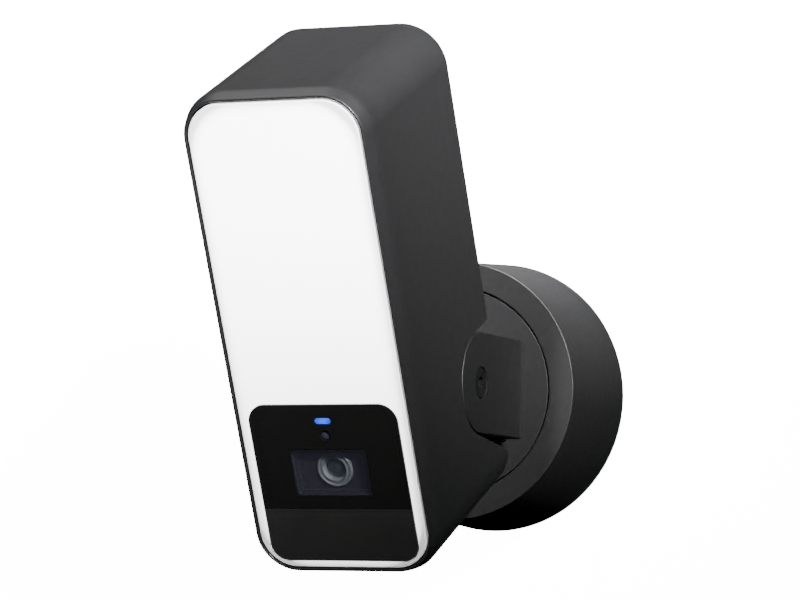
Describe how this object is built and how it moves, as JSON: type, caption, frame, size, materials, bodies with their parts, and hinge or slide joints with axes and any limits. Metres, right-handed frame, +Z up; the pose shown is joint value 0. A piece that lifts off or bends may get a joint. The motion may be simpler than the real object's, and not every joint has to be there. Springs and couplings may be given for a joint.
{
  "type": "floodlight security camera",
  "caption": "Slim rounded wall light whose lit opal face surrounds a black camera window, on a forked tilting arm that swivels in a round wall cup.",
  "frame": {"origin": "middle of the wall bracket's back face, on the swivel axis, in the plane of the wall", "axes": "+Y into the wall along the swivel axis, so the light shines towards -Y; +Z up; +X to the right of someone who faces the lit front"},
  "size_m": [0.1028, 0.2162, 0.1901],
  "materials": {
    "coated_metal": "fine-texture black powder coat on cast aluminium",
    "opal_diffuser": "satin opal white, lit from behind",
    "black_gloss": "polished black, sees infrared",
    "black_satin": "satin black",
    "smoked_clear": "clear, lightly smoked, polished",
    "blue_light": "clear light pipe, lit blue",
    "grey_plastic": "matt dark grey",
    "black_plastic": "matt black, moulded",
    "white_plastic": "satin white, moulded",
    "white_board": "white solder mask on aluminium",
    "led_phosphor": "yellow phosphor under clear resin",
    "circuit_board": "green solder mask on glass laminate",
    "bare_aluminium": "bare, milled",
    "steel": "zinc plated",
    "dark_steel": "black oxide, socket drive",
    "rubber": "matt black silicone",
    "cable_sheath": "matt black sheath"
  },
  "bodies": {
    "wall_mount": {"wall_cup": "coated_metal", "friction_ring": "rubber", "retaining_ring": "steel", "retaining_screw_1": "steel", "retaining_screw_2": "steel", "retaining_screw_3": "steel", "wall_bracket": "steel", "wall_gasket": "rubber", "cable_grommet": "rubber", "terminal_block": "white_plastic", "power_supply": "black_plastic", "cup_locking_screw": "dark_steel"},
    "swivel_arm": {"hinge_arm": "coated_metal", "arm_cover": "coated_metal", "hinge_bolt_left": "dark_steel", "hinge_bolt_right": "dark_steel", "friction_washer_left": "steel", "friction_washer_right": "steel", "arm_lead": "cable_sheath", "swivel_disc": "coated_metal", "arm_screw_left": "steel", "arm_screw_right": "steel"},
    "head": {"housing_shell": "coated_metal", "front_bezel": "coated_metal", "bezel_seal": "rubber", "light_diffuser": "opal_diffuser", "camera_window": "black_gloss", "pir_window": "black_satin", "lens_pane": "smoked_clear", "status_light_pipe": "blue_light", "light_sensor_lens": "grey_plastic", "window_carrier": "black_plastic", "lens_hood": "grey_plastic", "lens_barrel": "black_satin", "lens_glass": "smoked_clear", "camera_board": "circuit_board", "image_sensor": "black_plastic", "infrared_light_left": "smoked_clear", "infrared_light_right": "smoked_clear", "pir_sensor": "bare_aluminium", "pir_board": "circuit_board", "microphone": "bare_aluminium", "light_reflector": "white_plastic", "led_board": "white_board", "led_1": "led_phosphor", "led_2": "led_phosphor", "led_3": "led_phosphor", "led_4": "led_phosphor", "heat_sink": "bare_aluminium", "heat_sink_screw_1": "steel", "heat_sink_screw_2": "steel", "heat_sink_screw_3": "steel", "heat_sink_screw_4": "steel", "main_board": "circuit_board", "antenna": "bare_aluminium", "speaker": "black_plastic", "reset_switch": "black_plastic", "hinge_shaft": "steel", "head_lead": "cable_sheath"},
    "reset_key": {"reset_button": "black_plastic"}
  },
  "joints": [
    {"name": "mount_swivel", "type": "hinge", "parent": "wall_mount", "child": "swivel_arm", "pos_m": [0, 0, 0], "axis": [0, 1, 0], "range_deg": [-90, 90]},
    {"name": "head_tilt", "type": "hinge", "parent": "swivel_arm", "child": "head", "pos_m": [0, -0.1055, -0.0008], "axis": [1, 0, 0], "range_deg": [-25.7, 7.3]},
    {"name": "reset_press", "type": "slide", "parent": "head", "child": "reset_key", "axis": [0, -0.4337, 0.9011], "range_m": [0, 0.0006], "stiffness_N_per_m": 600}
  ]
}
